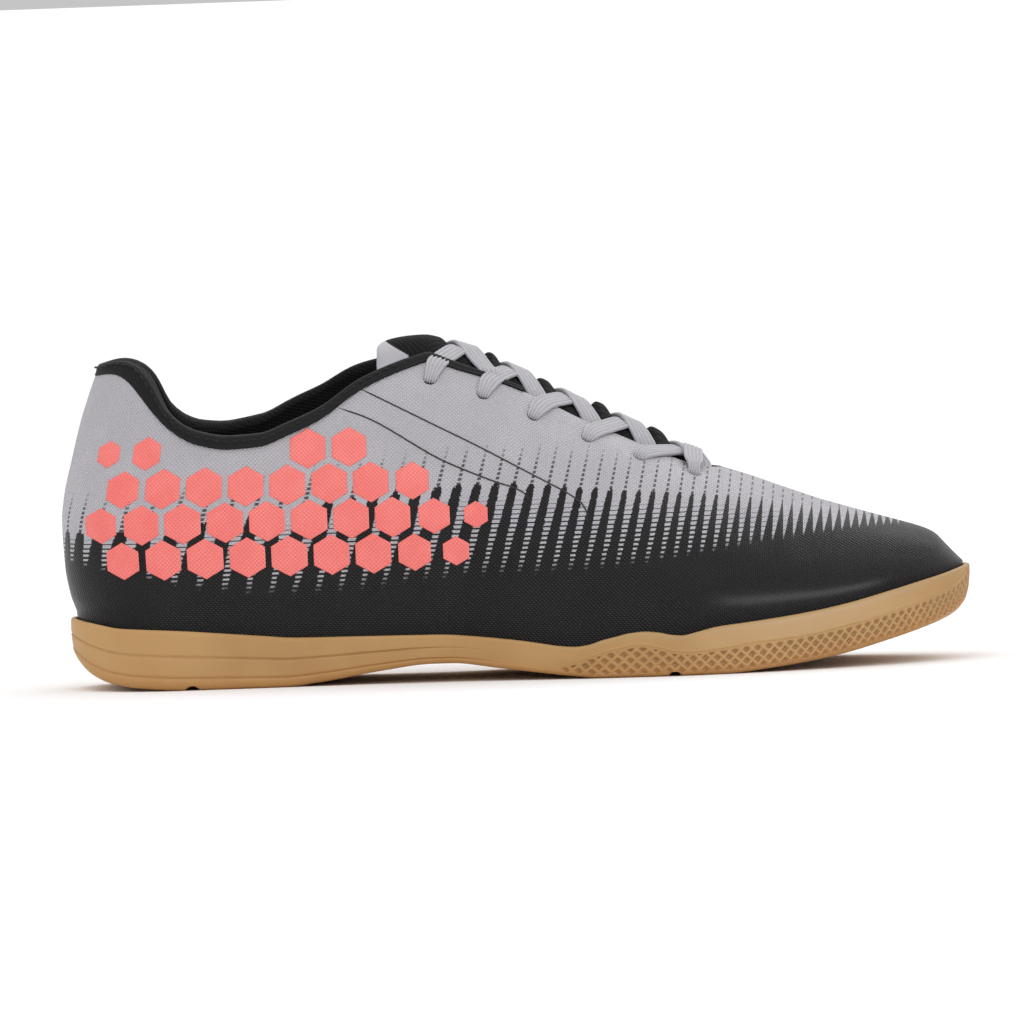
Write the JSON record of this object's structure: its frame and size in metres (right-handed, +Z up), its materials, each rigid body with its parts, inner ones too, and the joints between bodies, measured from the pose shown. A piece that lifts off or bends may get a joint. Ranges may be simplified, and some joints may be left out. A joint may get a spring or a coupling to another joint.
{
  "type": "indoor soccer shoe",
  "caption": "Low right indoor soccer shoe with a thin moulded upper, padded collar, crossed flat laces and a flat gum rubber cup sole.",
  "frame": {"origin": "middle of the footprint on the floor, under the whole shoe", "axes": "+X from heel to toe, +Y to the inner side of the foot, +Z up"},
  "size_m": [0.2846, 0.098, 0.1083],
  "materials": {
    "gum_rubber": "matte gum rubber, moulded",
    "insole_fabric": "black textile over foam",
    "upper_synthetic": "embossed synthetic leather, silver grey fading to black, satin",
    "collar_fabric": "black padded textile",
    "tongue_fabric": "black padded textile with a grey tip",
    "lace_fabric": "light grey woven flat lace"
  },
  "bodies": {
    "root": {"outsole": "gum_rubber", "insole": "insole_fabric", "upper": "upper_synthetic", "collar": "collar_fabric", "tongue": "tongue_fabric", "lace_crossing_1": "lace_fabric", "lace_crossing_2": "lace_fabric", "lace_crossing_3": "lace_fabric", "lace_crossing_4": "lace_fabric", "lace_crossing_5": "lace_fabric", "lace_bar": "lace_fabric"}
  },
  "joints": []
}
